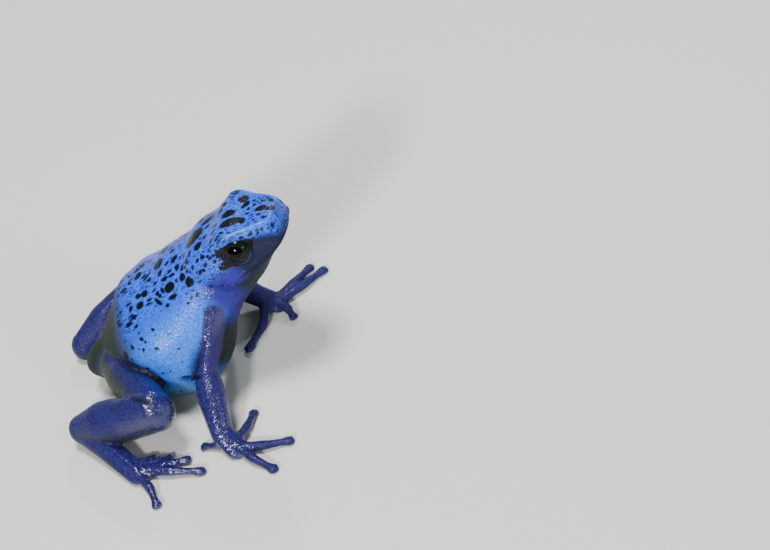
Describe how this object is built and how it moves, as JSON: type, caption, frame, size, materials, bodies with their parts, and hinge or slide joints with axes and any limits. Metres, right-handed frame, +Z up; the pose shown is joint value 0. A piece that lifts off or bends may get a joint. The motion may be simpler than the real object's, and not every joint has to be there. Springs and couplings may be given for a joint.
{
  "type": "blue poison dart frog model",
  "caption": "Life-size still model of a plump blue frog sitting up on straight arms, head turned a little right, with spread fingers and folded hind legs.",
  "frame": {"origin": "middle of the footprint on the floor the frog sits on (bounding box bottom centre)", "axes": "+X the way the frog's body faces, +Y to its left, +Z up from the floor"},
  "size_m": [0.0395, 0.05, 0.0258],
  "materials": {
    "body_skin": "moist azure blue skin with black spots and netting on the back and head, paler sky blue on the flanks",
    "limb_skin": "moist, finely pebbled cobalt to navy blue skin",
    "eye": "wet, near-black eye"
  },
  "bodies": {
    "root": {"trunk": "body_skin", "head": "body_skin", "eye_left": "eye", "eye_right": "eye", "upper_arm_left": "limb_skin", "forearm_left": "limb_skin", "hand_left": "limb_skin", "finger_1_left": "limb_skin", "finger_2_left": "limb_skin", "finger_3_left": "limb_skin", "finger_4_left": "limb_skin", "thigh_left": "limb_skin", "shank_left": "limb_skin", "foot_left": "limb_skin", "toe_1_left": "limb_skin", "toe_2_left": "limb_skin", "toe_3_left": "limb_skin", "toe_4_left": "limb_skin", "toe_5_left": "limb_skin", "upper_arm_right": "limb_skin", "forearm_right": "limb_skin", "hand_right": "limb_skin", "finger_1_right": "limb_skin", "finger_2_right": "limb_skin", "finger_3_right": "limb_skin", "finger_4_right": "limb_skin", "thigh_right": "limb_skin", "shank_right": "limb_skin", "foot_right": "limb_skin", "toe_1_right": "limb_skin", "toe_2_right": "limb_skin", "toe_3_right": "limb_skin", "toe_4_right": "limb_skin", "toe_5_right": "limb_skin"}
  },
  "joints": []
}
